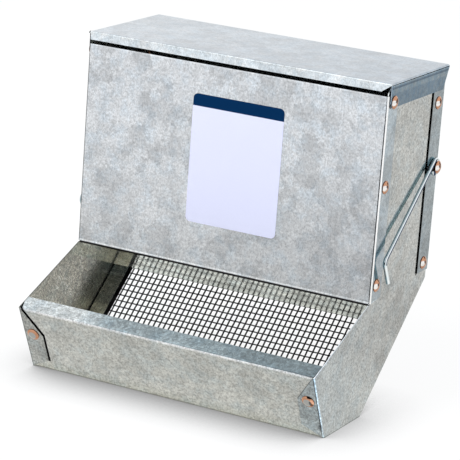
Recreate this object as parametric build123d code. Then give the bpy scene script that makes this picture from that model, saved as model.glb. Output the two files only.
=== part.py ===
from build123d import *
import math
import os

# Small animal feeder in bent galvanised sheet: a hopper with a riveted lid,
# an open trough in front of it, a woven sifter floor and two wire hooks.
# Sizes are millimetres. X runs to the right, Y to the back and Z up.
# The drawing has Z at 0 on the trough's flat bottom and Y at 0 on the
# outer face of the hopper's front panel, which bears on the cage wire.

# Sheet stock and how it is bent
SHEET = 0.55
BEND = 0.55
SEAM = 0.05

# Body
BODY_WIDTH = 177.0
HOPPER_DEPTH = 72.2
HOPPER_TOP = 177.7

# Front panel and its baffle
FRONT_BOTTOM = 61.4
FRONT_TOP_DROP = 5.7
FRONT_FLANGE = 12.0
FRONT_FLANGE_TAPER = 1.6
BAFFLE_RUN = 11.6
BAFFLE_DROP = 12.3

# Back panel
BACK_FOOT_RISE = 3.9
BACK_FLANGE = 14.2

# Trough
TROUGH_FOOT = 41.2
TROUGH_REACH = 58.5
TROUGH_HEIGHT = 36.6
LIP_WIDTH = 9.4
TAB_WIDTH = 12.0
TAB_SHOULDER = 23.6
TAB_FOOT = 6.5

# Sloping floor
HEEL_Y = 0.7
HEEL_HEIGHT = 61.8
FLOOR_FLANGE = 5.5
FLOOR_REAR_FLANGE = 8.0
WINDOW_SIDE_STRIP = 10.0
WINDOW_END_STRIP = 7.0

# Sifter mesh
MESH_THICKNESS = 0.9
MESH_EDGE = 5.0
MESH_STRAND = 0.8
MESH_COLUMNS = 24
MESH_ROWS = 11

# Lid
LID_SIDE_GAP = 0.3
LID_TOP_GAP = 0.25
LID_FRONT_SETBACK = 0.7
LID_REAR_OVERHANG = 1.4
LID_FRONT_FLANGE = 4.5
LID_FRONT_MITRE = 5.6
LID_FRONT_RELIEF = 1.1
LID_SIDE_FLANGE = 12.7
LID_FLANGE_TAPER = 6.0
LID_FLANGE_CORNER = 2.5

# Rivets
HEAD_RADIUS = 3.5
HEAD_HEIGHT = 1.6
HEAD_RIM = 0.3
SHANK_RADIUS = 1.6
TAIL_FLARE = 1.0
TAIL_HEIGHT = 0.9
TAIL_CHAMFER = 0.5
HOLE_CLEARANCE = 0.06
FRONT_RIVET_INSET = 5.7
BACK_RIVET_INSET = 7.2
LID_PIVOT_DROP = 9.2
FRONT_LOWER_RIVET_RISE = 9.7
FRONT_UPPER_RIVET_DROP = 48.4
BACK_LOWER_RIVET_RISE = 4.8
BACK_UPPER_RIVET_DROP = 18.9
TAB_RIVET_INSET = 5.9

# Wire hooks
WIRE = 2.2
EYE_STANDOFF = 0.25
EYE_CLEARANCE = 0.4
EYE_TURN = 285.0
HOOK_SHANK_RADIUS = 2.4
HOOK_INSET = 6.2
HOOK_DROP = 53.8
HOOK_ARM = 72.0
HOOK_ARM_ANGLE = 36.7
HOOK_LEAN = 1.5
HOOK_BEND_RADIUS = 3.0
HOOK_BEND_ANGLE = 82.0
HOOK_TIP = 14.4

# Paper label on the front panel
LABEL_WIDTH = 54.2
LABEL_HEIGHT = 70.0
LABEL_OFFSET = 4.1
LABEL_RISE = 4.1
LABEL_THICKNESS = 0.12
LABEL_CORNER = 2.7

# How far a cutter runs past the metal that it cuts
OVERCUT = 1.0

# Bends, panels and laps, worked out from the sizes above
OUTER_BEND = BEND + SHEET
SIDE_OUT = BODY_WIDTH / 2
SIDE_IN = SIDE_OUT - SHEET
INSIDE_HALF = SIDE_IN - SEAM
WRAP_IN = SIDE_OUT + SEAM
WRAP_OUT = WRAP_IN + SHEET
SIDE_FRONT = OUTER_BEND + SEAM
SIDE_BACK = HOPPER_DEPTH - OUTER_BEND - SEAM
BACK_INNER = HOPPER_DEPTH - SHEET - SEAM
FRONT_TOP = HOPPER_TOP - FRONT_TOP_DROP
BACK_BOTTOM = HEEL_HEIGHT + BACK_FOOT_RISE
CAGE_POINT_HEIGHT = (FRONT_TOP + FRONT_BOTTOM) / 2

# Lid, outside the body's flanges
LID_IN = WRAP_OUT + LID_SIDE_GAP
LID_OUT = LID_IN + SHEET
LID_UNDER = HOPPER_TOP + LID_TOP_GAP
LID_TOP = LID_UNDER + SHEET
LID_FRONT = LID_FRONT_SETBACK
LID_FLANGE_START = LID_FRONT + OUTER_BEND
LID_REAR = HOPPER_DEPTH + LID_REAR_OVERHANG

# Rivets in the side panels: each upright row's place and its heights. The
# lid turns on a rivet of its own at the top of the front row.
FRONT_ROW_Y = FRONT_RIVET_INSET
BACK_ROW_Y = HOPPER_DEPTH - BACK_RIVET_INSET
FRONT_ROW = (FRONT_BOTTOM + FRONT_LOWER_RIVET_RISE, FRONT_TOP - FRONT_UPPER_RIVET_DROP)
BACK_ROW = (BACK_BOTTOM + BACK_LOWER_RIVET_RISE, HOPPER_TOP - BACK_UPPER_RIVET_DROP)
PIVOT_Z = HOPPER_TOP - LID_PIVOT_DROP
RIVET_HOLE = SHANK_RADIUS + HOLE_CLEARANCE

# Hook: the post in the side panel and the eye round it
HOOK_Y = HOPPER_DEPTH - HOOK_INSET
HOOK_Z = HOPPER_TOP - HOOK_DROP
HOOK_HOLE = HOOK_SHANK_RADIUS + HOLE_CLEARANCE
EYE_RADIUS = HOOK_SHANK_RADIUS + EYE_CLEARANCE + WIRE / 2
EYE_X = WRAP_OUT + EYE_STANDOFF + WIRE / 2

# The trough's front wall leans out. ALONG runs up it and INWARD points into
# the trough, both as (y, z).
WALL_LENGTH = math.hypot(TROUGH_REACH - TROUGH_FOOT, TROUGH_HEIGHT)
ALONG = ((TROUGH_FOOT - TROUGH_REACH) / WALL_LENGTH, TROUGH_HEIGHT / WALL_LENGTH)
INWARD = (ALONG[1], -ALONG[0])
FOOT_POINT = (-TROUGH_FOOT, 0)
BROW_POINT = (-TROUGH_REACH, TROUGH_HEIGHT)
LEVEL = (1, 0)
UPRIGHT = (0, 1)

# The sloping floor is parallel to the side panels' lower edge.
SLOPE = math.atan2(HEEL_HEIGHT, HOPPER_DEPTH - HEEL_Y)
UPHILL = (math.cos(SLOPE), math.sin(SLOPE))
FLOOR_RISE = FLOOR_FLANGE / math.cos(SLOPE)


def add(point, direction, distance):
    """Return the 2-D point that lies a distance away along a direction."""
    return (point[0] + direction[0] * distance, point[1] + direction[1] * distance)


def unit(start, end):
    """Return the 2-D unit vector from start to end."""
    length = math.dist(start, end)
    return ((end[0] - start[0]) / length, (end[1] - start[1]) / length)


def crossing(point_a, along_a, point_b, along_b):
    """Return the point where two 2-D lines cross."""
    turn = along_a[0] * along_b[1] - along_a[1] * along_b[0]
    gap = (point_b[0] - point_a[0], point_b[1] - point_a[1])
    return add(point_a, along_a, (gap[0] * along_b[1] - gap[1] * along_b[0]) / turn)


def rounded(points, radii):
    """Return the edges of a polyline with an arc of its own radius at each corner."""
    edges = []
    start = points[0]
    for before, corner, after, radius in zip(points, points[1:], points[2:], radii):
        back = unit(corner, before)
        ahead = unit(corner, after)
        half = math.acos(back[0] * ahead[0] + back[1] * ahead[1]) / 2
        middle = unit((0, 0), (back[0] + ahead[0], back[1] + ahead[1]))
        arc_start = add(corner, back, radius / math.tan(half))
        arc_end = add(corner, ahead, radius / math.tan(half))
        arc_middle = add(corner, middle, radius / math.sin(half) - radius)
        edges.append(Line(start, arc_start))
        edges.append(ThreePointArc(arc_start, arc_middle, arc_end))
        start = arc_end
    edges.append(Line(start, points[-1]))
    return edges


def upright(face):
    """Turn a face drawn on the XY plane so that its normal is +Z."""
    return face if face.normal_at().Z > 0 else -face


def outline(points):
    """Return a flat face from its corners."""
    return upright(Face(Wire(Polyline(*points, close=True).edges())))


def sheet_section(points):
    """Return the section of a bent sheet whose metal lies to the left of the points."""
    inner = []
    outer_radii = []
    inner_radii = []
    ways = [unit(start, end) for start, end in zip(points, points[1:])]
    for index, point in enumerate(points):
        before = ways[max(index - 1, 0)]
        after = ways[min(index, len(ways) - 1)]
        start = add(point, (-before[1], before[0]), SHEET)
        end = add(point, (-after[1], after[0]), SHEET)
        turn = before[0] * after[1] - before[1] * after[0]
        if 0 < index < len(points) - 1:
            inner.append(crossing(start, before, end, after))
            outer_radii.append(OUTER_BEND if turn > 0 else BEND)
            inner_radii.append(BEND if turn > 0 else OUTER_BEND)
        else:
            inner.append(start if index else end)
    edges = rounded(points, outer_radii)
    edges.append(Line(points[-1], inner[-1]))
    edges += rounded(inner[::-1], inner_radii[::-1])
    edges.append(Line(inner[0], points[0]))
    return upright(Face(Wire(edges)))


def across(section, low_x, high_x):
    """Extrude a section drawn as (y, z) from one X to another."""
    return extrude(Plane.YZ.offset(low_x) * section, amount=high_x - low_x)


def on_side(solid, side):
    """Return a solid made for the right side, on the side that is asked for."""
    return solid if side > 0 else mirror(solid, about=Plane.YZ)


def wall_plane(x):
    """Return the outer face of the trough's front wall, with Y up it and Z outwards."""
    return Plane(
        origin=(x, *FOOT_POINT), x_dir=(1, 0, 0), z_dir=(0, -INWARD[0], -INWARD[1])
    )


def floor_ends():
    """Return the front bend and the rear end of the floor's lower face."""
    lifted = (HEEL_Y, FLOOR_RISE - SHEET / math.cos(SLOPE))
    front = crossing(lifted, UPHILL, (0, 0), LEVEL)
    rear = crossing(lifted, UPHILL, (BACK_INNER, 0), UPRIGHT)
    return front, rear


def floor_plane():
    """Return the plane of the floor's lower face, with Y up the slope."""
    front, _ = floor_ends()
    return Plane(origin=(0, *front), x_dir=(1, 0, 0), z_dir=(0, -UPHILL[1], UPHILL[0]))


def window_size():
    """Return the floor window's width, length and centre up the slope."""
    run = math.dist(*floor_ends())
    return 2 * (INSIDE_HALF - WINDOW_SIDE_STRIP), run - 2 * WINDOW_END_STRIP, run / 2


def drill(y, z, radius):
    """Return a drill along X through the right side of the body at (y, z)."""
    length = LID_OUT - SIDE_IN + 2 * OVERCUT
    start = Location(((SIDE_IN + LID_OUT) / 2, y, z))
    return start * Rotation(0, 90, 0) * Cylinder(radius, length)


def front_drills():
    """Return the drills of the right side's front row, with the lid's pivot."""
    return [drill(FRONT_ROW_Y, height, RIVET_HOLE) for height in FRONT_ROW + (PIVOT_Z,)]


def back_drills():
    """Return the drills of the right side's back row and of the hook's post."""
    drills = [drill(BACK_ROW_Y, height, RIVET_HOLE) for height in BACK_ROW]
    return drills + [drill(HOOK_Y, HOOK_Z, HOOK_HOLE)]


def tab_rivet_place():
    """Return the place inside the trough where the right tab's rivet starts."""
    start = wall_plane(SIDE_OUT - TAB_RIVET_INSET).offset(-2 * SHEET - SEAM)
    up_wall = start * Pos(0, TAB_SHOULDER)
    return up_wall * Rotation(0, -90, 0)


def tab_drill():
    """Return a drill through the right tab and the front wall behind it."""
    length = 2 * (2 * SHEET + SEAM + OVERCUT)
    return tab_rivet_place() * Rotation(0, 90, 0) * Cylinder(RIVET_HOLE, length)


def side_panel():
    """The right side, flat, with a tab folded round the trough's front wall."""
    foot = crossing(add(FOOT_POINT, INWARD, OUTER_BEND), ALONG, (0, 0), LEVEL)
    brow = add(BROW_POINT, INWARD, OUTER_BEND)
    heel = (HEEL_Y, 0)
    tail = crossing(heel, UPHILL, (SIDE_BACK, 0), UPRIGHT)
    lid_room = FRONT_ROW_Y - SIDE_FRONT
    plate = outline([
        foot,
        heel,
        tail,
        (SIDE_BACK, HOPPER_TOP),
        (FRONT_ROW_Y, HOPPER_TOP),
        (SIDE_FRONT, HOPPER_TOP - lid_room),
        (SIDE_FRONT, FRONT_BOTTOM - SEAM),
        (0, FRONT_BOTTOM - SEAM),
        brow,
    ])
    solid = across(plate, SIDE_IN, SIDE_OUT)

    corner = Plane(origin=(SIDE_OUT, *FOOT_POINT), x_dir=(1, 0, 0), z_dir=(0, *ALONG))
    fold = sheet_section([(-TAB_WIDTH, 0), (0, 0), (0, OUTER_BEND + SEAM)])
    tab = extrude(corner.offset(-OUTER_BEND) * fold, amount=WALL_LENGTH + OUTER_BEND)
    beyond = -TAB_WIDTH - OVERCUT
    above_shoulder = outline([
        (-OUTER_BEND, WALL_LENGTH),
        (-TAB_WIDTH, TAB_SHOULDER),
        (beyond, TAB_SHOULDER),
        (beyond, WALL_LENGTH + OVERCUT),
        (-OUTER_BEND, WALL_LENGTH + OVERCUT),
    ])
    below_foot = outline([
        (-OUTER_BEND, OUTER_BEND / 2),
        (-TAB_WIDTH, TAB_FOOT),
        (beyond, TAB_FOOT),
        (beyond, -2 * OUTER_BEND),
        (-OUTER_BEND, -2 * OUTER_BEND),
    ])
    behind_tab = wall_plane(SIDE_OUT).offset(-SHEET - SEAM)
    for spare in (above_shoulder, below_foot):
        tab -= extrude(behind_tab * spare, amount=SHEET + 2 * SEAM)
    solid += tab

    ground = Box(BODY_WIDTH, 2 * (TROUGH_REACH + HOPPER_DEPTH), 4 * OUTER_BEND)
    solid -= Location((SIDE_OUT, 0, -2 * OUTER_BEND)) * ground
    for hole in front_drills() + back_drills():
        solid -= hole
    return solid - tab_drill()


def wrap_section(face_y, flange_end_y):
    """Return the (x, y) section of a panel whose flanges lap the side panels."""
    points = [
        (-WRAP_OUT, flange_end_y),
        (-WRAP_OUT, face_y),
        (WRAP_OUT, face_y),
        (WRAP_OUT, flange_end_y),
    ]
    return sheet_section(points if flange_end_y > face_y else points[::-1])


def front_panel():
    """The hopper's front: flanges round both sides and a baffle bent inwards."""
    foot = FRONT_BOTTOM + SHEET
    wrap = wrap_section(0, FRONT_FLANGE)
    solid = extrude(Plane.XY.offset(foot) * wrap, amount=FRONT_TOP - foot)
    baffle_end = (BAFFLE_RUN, FRONT_BOTTOM - BAFFLE_DROP)
    section = sheet_section([(0, FRONT_TOP), (0, FRONT_BOTTOM), baffle_end])
    solid += across(section, -INSIDE_HALF, INSIDE_HALF)

    under_flange = across(outline([
        (OUTER_BEND, foot),
        (OUTER_BEND, foot - OVERCUT),
        (FRONT_FLANGE + OVERCUT, foot - OVERCUT),
        (FRONT_FLANGE + OVERCUT, foot + FRONT_FLANGE_TAPER),
    ]), WRAP_IN - SEAM / 2, WRAP_OUT + SEAM / 2)
    for side in (-1, 1):
        for cutter in [under_flange] + front_drills():
            solid -= on_side(cutter, side)
    return solid


def back_panel():
    """The hopper's back, with flanges round both sides."""
    wrap = wrap_section(HOPPER_DEPTH, HOPPER_DEPTH - BACK_FLANGE)
    solid = extrude(Plane.XY.offset(BACK_BOTTOM) * wrap, amount=HOPPER_TOP - BACK_BOTTOM)
    for side in (-1, 1):
        for hole in back_drills():
            solid -= on_side(hole, side)
    return solid


def trough_pan():
    """One sheet: lip, leaning front wall, flat bottom and windowed floor."""
    front, rear = floor_ends()
    setback = SHEET + SEAM
    wall_foot = crossing(add(FOOT_POINT, INWARD, setback), ALONG, (0, 0), LEVEL)
    wall_top = add(BROW_POINT, INWARD, setback)
    lip_end = add(wall_top, INWARD, LIP_WIDTH)
    section = sheet_section([lip_end, wall_top, wall_foot, front, rear])
    solid = across(section, -INSIDE_HALF, INSIDE_HALF)

    width, length, centre = window_size()
    window = floor_plane().offset(-SHEET) * Pos(0, centre) * Rectangle(width, length)
    solid -= extrude(window, amount=3 * SHEET)

    run = math.dist(front, rear)
    drop = FLOOR_FLANGE - SHEET
    flange = outline([
        (OUTER_BEND, SHEET / 2),
        (OUTER_BEND + drop, -drop),
        (run - OUTER_BEND - drop * math.tan(SLOPE), -drop),
        (run - OUTER_BEND, 0),
        (run - OUTER_BEND, SHEET / 2),
    ])
    flange_plane = Plane(
        origin=(INSIDE_HALF - SHEET, *front), x_dir=(0, *UPHILL), z_dir=(1, 0, 0)
    )
    side_flange = extrude(flange_plane * flange, amount=SHEET)
    rear_flange = outline([
        (BACK_INNER, rear[1] + SHEET / 2),
        (BACK_INNER, rear[1] - FLOOR_REAR_FLANGE),
        (BACK_INNER - SHEET, rear[1] - FLOOR_REAR_FLANGE),
        (BACK_INNER - SHEET, rear[1]),
    ])
    solid += across(rear_flange, OUTER_BEND - INSIDE_HALF, INSIDE_HALF - OUTER_BEND)

    notch = 2 * OUTER_BEND
    notch_x = SIDE_IN - SEAM - BEND + notch / 2
    rear_notch = Box(notch, notch, TROUGH_HEIGHT + HEEL_HEIGHT)
    rear_notch = Location((notch_x, SIDE_BACK + notch / 2, rear[1])) * rear_notch
    wall_notch = wall_plane(notch_x).offset(-OUTER_BEND - SEAM) * Rectangle(notch, 3 * WALL_LENGTH)
    wall_notch = extrude(wall_notch, amount=2 * OUTER_BEND)
    for side in (-1, 1):
        solid += on_side(side_flange, side)
        for cutter in (rear_notch, wall_notch, tab_drill()):
            solid -= on_side(cutter, side)
    return solid


def sifter_mesh():
    """The sifter's woven wire as one flat holed sheet under the floor window."""
    width, length, centre = window_size()
    pitch_x = width / MESH_COLUMNS
    pitch_y = length / MESH_ROWS
    gap = Rectangle(pitch_x - MESH_STRAND, pitch_y - MESH_STRAND)
    net = Rectangle(width + 2 * MESH_EDGE, length + 2 * MESH_EDGE)
    net -= GridLocations(pitch_x, pitch_y, MESH_COLUMNS, MESH_ROWS) * gap
    plane = floor_plane().offset(-SEAM - MESH_THICKNESS)
    return extrude(plane * Pos(0, centre) * net, amount=MESH_THICKNESS)


def lid():
    """A flat lid with two tapered side flanges and a lower one along the front.

    The front flange is mitred at its right end and cut square at its left.
    """
    bend_foot = LID_TOP - OUTER_BEND
    front_foot = LID_TOP - LID_FRONT_FLANGE
    side_foot = LID_TOP - LID_SIDE_FLANGE
    section = sheet_section([(LID_REAR, LID_TOP), (LID_FRONT, LID_TOP), (LID_FRONT, front_foot)])
    solid = across(section, -LID_OUT, LID_OUT)
    beyond = LID_OUT + OVERCUT
    mitre_foot = (LID_OUT - LID_FRONT_MITRE, front_foot)
    mitre_way = unit(mitre_foot, (LID_OUT, LID_UNDER))
    low = add(mitre_foot, mitre_way, -OVERCUT)
    high = add((LID_OUT, LID_UNDER), mitre_way, OVERCUT)
    mitre = Plane.XZ.offset(-LID_FRONT) * outline([high, low, (high[0], low[1])])
    relief = Plane.XZ.offset(-LID_FRONT) * outline([
        (-beyond, bend_foot),
        (-beyond, front_foot - OVERCUT),
        (LID_FRONT_RELIEF - LID_OUT, front_foot - OVERCUT),
        (LID_FRONT_RELIEF - LID_OUT, bend_foot),
    ])
    for notch in (mitre, relief):
        solid -= extrude(notch, amount=OUTER_BEND + SHEET / 2, both=True)
    square_edge = across(outline([
        (LID_FLANGE_START, LID_UNDER - OVERCUT),
        (LID_REAR + OVERCUT, LID_UNDER - OVERCUT),
        (LID_REAR + OVERCUT, LID_TOP + OVERCUT),
        (LID_FLANGE_START, LID_TOP + OVERCUT),
    ]), LID_OUT - OUTER_BEND, beyond)

    fold = sheet_section([
        (LID_OUT, side_foot), (LID_OUT, LID_TOP), (LID_IN - 2 * OUTER_BEND, LID_TOP),
    ])
    length = LID_REAR - LID_FLANGE_START + 2 * OVERCUT
    flange = extrude(Plane.XZ.offset(-LID_REAR - OVERCUT) * fold, amount=length)
    flange &= across(outline([
        (LID_FLANGE_START, LID_TOP + OVERCUT),
        (LID_FLANGE_START, side_foot + LID_FLANGE_CORNER),
        (LID_FLANGE_START + LID_FLANGE_CORNER, side_foot),
        (LID_REAR - LID_FLANGE_TAPER, side_foot),
        (LID_REAR, bend_foot),
        (LID_REAR, LID_TOP + OVERCUT),
    ]), 0, beyond)
    pivot = drill(FRONT_ROW_Y, PIVOT_Z, RIVET_HOLE)
    for side in (-1, 1):
        solid -= on_side(square_edge, side)
        solid += on_side(flange, side)
        solid -= on_side(pivot, side)
    return solid


def label():
    """The blank sticker on the front panel."""
    face = RectangleRounded(LABEL_WIDTH, LABEL_HEIGHT, LABEL_CORNER)
    centre = (LABEL_OFFSET, 0, CAGE_POINT_HEIGHT + LABEL_RISE)
    plane = Plane(origin=centre, x_dir=(1, 0, 0), z_dir=(0, -1, 0))
    return extrude(plane * face, amount=LABEL_THICKNESS)


def rivet(shank_radius, grip, loose=0.0):
    """Return a rivet along +X, from its tail inside the body to its domed head.

    The grip is the thickness that it holds, and loose is how far the head
    stands off the outermost sheet.
    """
    reach = grip + loose
    tail_radius = shank_radius + TAIL_FLARE
    crown = reach + HEAD_RIM
    top = reach + HEAD_HEIGHT
    bow = HEAD_RADIUS * math.cos(math.radians(45))
    rise = HEAD_HEIGHT - HEAD_RIM
    ball = (HEAD_RADIUS ** 2 + rise ** 2) / (2 * rise)
    bow_height = top - ball + math.sqrt(ball ** 2 - bow ** 2)
    tail = Polyline(
        (top, 0),
        (-TAIL_HEIGHT, 0),
        (-TAIL_HEIGHT, tail_radius - TAIL_CHAMFER),
        (TAIL_CHAMFER - TAIL_HEIGHT, tail_radius),
        (0, tail_radius),
        (0, shank_radius),
        (reach, shank_radius),
        (reach, HEAD_RADIUS),
        (crown, HEAD_RADIUS),
    )
    dome = ThreePointArc((crown, HEAD_RADIUS), (bow_height, bow), (top, 0))
    return revolve(Face(Wire(tail.edges() + dome.edges())), axis=Axis.X)


def body_rivet(y, z):
    """Return a rivet through the right side panel and the flange on it."""
    return Location((SIDE_IN, y, z)) * rivet(SHANK_RADIUS, WRAP_OUT - SIDE_IN)


def lid_rivet():
    """Return the right rivet that the lid turns on."""
    return Location((SIDE_IN, FRONT_ROW_Y, PIVOT_Z)) * rivet(SHANK_RADIUS, LID_OUT - SIDE_IN, SEAM)


def tab_rivet():
    """Return the rivet through the right tab and the trough's front wall."""
    return tab_rivet_place() * rivet(SHANK_RADIUS, 2 * SHEET + SEAM)


def hook_rivet():
    """Return the long rivet that the right hook's eye turns on."""
    post = rivet(HOOK_SHANK_RADIUS, WRAP_OUT - SIDE_IN, WIRE + 2 * EYE_STANDOFF)
    return Location((SIDE_IN, HOOK_Y, HOOK_Z)) * post


def hook_plane():
    """Return the right hook's own plane: X runs up its arm, from the eye's centre.

    The plane leans, so that the arm stands clear of the rivet heads it passes.
    """
    down = math.radians(HOOK_ARM_ANGLE)
    lean = math.radians(HOOK_LEAN)
    along = (-math.sin(lean), math.cos(lean) * math.cos(down), math.cos(lean) * math.sin(down))
    outwards = (math.cos(lean), math.sin(lean) * math.cos(down), math.sin(lean) * math.sin(down))
    return Plane(origin=(EYE_X, HOOK_Y, HOOK_Z), x_dir=along, z_dir=outwards)


def eye_point(turn):
    """Return a point of the eye's centre line, a turn in degrees past the arm."""
    angle = math.radians(90 - turn)
    return (EYE_RADIUS * math.cos(angle), EYE_RADIUS * math.sin(angle))


def hook_path():
    """Return the right hook's centre line: tip, bend, arm and the eye's open ring."""
    bend = math.radians(HOOK_BEND_ANGLE)
    corner = (-HOOK_ARM, EYE_RADIUS)
    tip = add(corner, (math.cos(bend), math.sin(bend)), -HOOK_TIP)
    edges = rounded([tip, corner, eye_point(0)], [HOOK_BEND_RADIUS])
    edges.append(ThreePointArc(eye_point(0), eye_point(EYE_TURN / 2), eye_point(EYE_TURN)))
    return hook_plane() * Wire(edges)


def hook():
    """The right-hand wire hook."""
    path = hook_path()
    return sweep(Plane(origin=path @ 0, z_dir=path % 0) * Circle(WIRE / 2), path=path)


def least_gap(path, count=240):
    """Return the least gap that the wire leaves to itself, measured on points."""
    points = [path @ (index / count) for index in range(count + 1)]
    next_turn = math.ceil(math.pi * EYE_RADIUS / path.length * count)
    gaps = [
        (points[first] - points[second]).length
        for first in range(count + 1)
        for second in range(first + next_turn, count + 1)
    ]
    return min(gaps) - WIRE


def write(name, solid):
    """Move a piece to the cage point's frame and write it."""
    placed = Location((0, 0, -CAGE_POINT_HEIGHT)) * solid
    placed.label = name
    export_step(placed, "parts/" + name + ".step")


def right_hand_pieces():
    """Return each piece that the body has on both sides, made for the right."""
    pieces = {
        "side_panel": side_panel(),
        "lid_rivet": lid_rivet(),
        "tab_rivet": tab_rivet(),
        "hook_rivet": hook_rivet(),
        "hook": hook(),
    }
    for row, y, heights in (("front", FRONT_ROW_Y, FRONT_ROW), ("back", BACK_ROW_Y, BACK_ROW)):
        for level, height in zip(("lower", "upper"), heights):
            pieces[row + "_" + level + "_rivet"] = body_rivet(y, height)
    return pieces


def main():
    os.makedirs("parts", exist_ok=True)
    write("front_panel", front_panel())
    write("back_panel", back_panel())
    write("trough_pan", trough_pan())
    write("sifter_mesh", sifter_mesh())
    write("lid", lid())
    write("front_label", label())
    for name, solid in right_hand_pieces().items():
        for side, hand in ((-1, "left"), (1, "right")):
            write(name + "_" + hand, on_side(solid, side))
    print("least gap of the hook's wire to itself", round(least_gap(hook_path()), 3))


main()
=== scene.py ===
import math

import bpy
from mathutils import Matrix, Vector


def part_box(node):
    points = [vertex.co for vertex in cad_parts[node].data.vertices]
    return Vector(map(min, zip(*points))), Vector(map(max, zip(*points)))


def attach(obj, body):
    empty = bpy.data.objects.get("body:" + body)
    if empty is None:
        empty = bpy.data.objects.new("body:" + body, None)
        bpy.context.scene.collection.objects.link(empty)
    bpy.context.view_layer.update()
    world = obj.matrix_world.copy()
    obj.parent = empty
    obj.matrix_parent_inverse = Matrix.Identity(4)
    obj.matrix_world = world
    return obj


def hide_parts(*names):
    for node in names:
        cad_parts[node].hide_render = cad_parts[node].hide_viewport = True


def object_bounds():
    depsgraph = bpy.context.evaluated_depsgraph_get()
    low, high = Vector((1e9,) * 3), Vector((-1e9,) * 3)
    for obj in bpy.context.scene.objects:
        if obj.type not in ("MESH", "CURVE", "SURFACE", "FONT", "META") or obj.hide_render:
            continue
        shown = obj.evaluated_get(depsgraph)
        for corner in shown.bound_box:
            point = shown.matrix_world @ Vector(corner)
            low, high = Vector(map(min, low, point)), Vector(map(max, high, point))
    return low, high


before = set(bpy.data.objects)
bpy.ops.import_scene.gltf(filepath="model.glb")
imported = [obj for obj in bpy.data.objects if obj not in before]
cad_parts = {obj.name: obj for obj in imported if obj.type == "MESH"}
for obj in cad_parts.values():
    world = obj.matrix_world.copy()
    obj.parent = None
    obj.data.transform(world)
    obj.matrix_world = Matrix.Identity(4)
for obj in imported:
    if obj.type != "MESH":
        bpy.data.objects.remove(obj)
cad_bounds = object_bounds()
MM = 0.001


# The hopper, trough and lid are cut and folded from thin steel sheet that
# was dipped in zinc. The zinc has set in small grey and bluish crystals,
# with cloudy patches and fine specks.
GRAIN_SIZE = 0.75 * MM
GRAIN_SQUEEZE = (1.0, 1.0, 0.7)
GRAIN_DARK = 0.20
GRAIN_LIGHT = 0.12
SPECK_SIZE = 1.7 * MM
SPECK_SHARE = 0.45
FEATHER_SIZE = 4.0 * MM
FEATHER_SHARE = 0.008
CRYSTAL_SIZE = 11.0 * MM
CRYSTALS = ((CRYSTAL_SIZE, 0.16), (0.45 * CRYSTAL_SIZE, 0.12))
CLOUD_SIZE = 24.0 * MM
CLOUD_DEPTH = 0.09
BLUE_SIZE = 9.0 * MM
BLUE_TINT = (0.94, 0.99, 1.03, 1)
LOW_ROUGHNESS = 0.05
HIGH_ROUGHNESS = 0.12
DENT_STRENGTH = 0.05
DENT_DEPTH = 0.2 * MM
METAL_SHARE = 0.92
CLEAR = (1, 1, 1, 1)
BLACK = (0.006, 0.007, 0.008, 1)


def new_material(name):
    """Return a new material with its node tree, shader and Object coordinates."""
    material = bpy.data.materials.new(name)
    material.use_nodes = True
    tree = material.node_tree
    shader = tree.nodes["Principled BSDF"]
    place = tree.nodes.new("ShaderNodeTexCoord")
    return material, tree, shader, place.outputs["Object"]


def noise(tree, place, size, detail=2.0, roughness=0.5):
    """Return the output of a noise pattern whose features are about one size across."""
    node = tree.nodes.new("ShaderNodeTexNoise")
    node.inputs["Scale"].default_value = 1 / size
    node.inputs["Detail"].default_value = detail
    node.inputs["Roughness"].default_value = roughness
    tree.links.new(place, node.inputs["Vector"])
    return node.outputs["Fac"]


def grey(level):
    """Return an opaque grey."""
    return (level, level, level, 1)


def at_level(tint, level):
    """Return a tint at a brightness."""
    return (tint[0] * level, tint[1] * level, tint[2] * level, 1)


def ramp(tree, value, low, high, low_colour, high_colour):
    """Return a colour that runs from one to the other while a value rises."""
    node = tree.nodes.new("ShaderNodeValToRGB")
    node.color_ramp.elements[0].position = low
    node.color_ramp.elements[0].color = low_colour
    node.color_ramp.elements[1].position = high
    node.color_ramp.elements[1].color = high_colour
    tree.links.new(value, node.inputs["Fac"])
    return node.outputs["Color"]


def fill(tree, sockets):
    """Give each socket its value, which is a number, a colour or another output."""
    for socket, given in sockets:
        if isinstance(given, (int, float, tuple)):
            socket.default_value = given
        else:
            tree.links.new(given, socket)


def mixed(tree, share, first, second, blend="MIX"):
    """Return two colours mixed, by a number or by another output."""
    node = tree.nodes.new("ShaderNodeMix")
    node.data_type = "RGBA"
    node.blend_type = blend
    factor, first_colour, second_colour = node.inputs[0], node.inputs[6], node.inputs[7]
    fill(tree, ((factor, share), (first_colour, first), (second_colour, second)))
    return node.outputs[2]


def tinted(tree, colour, tint, where=1.0):
    """Return a colour times a tint, as far as a mask from 0 to 1 lets it."""
    return mixed(tree, where, colour, tint, "MULTIPLY")


def squeezed(tree, place, scale):
    """Return coordinates that are scaled along each axis."""
    node = tree.nodes.new("ShaderNodeMapping")
    node.inputs["Scale"].default_value = scale
    tree.links.new(place, node.inputs["Vector"])
    return node.outputs["Vector"]


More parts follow.
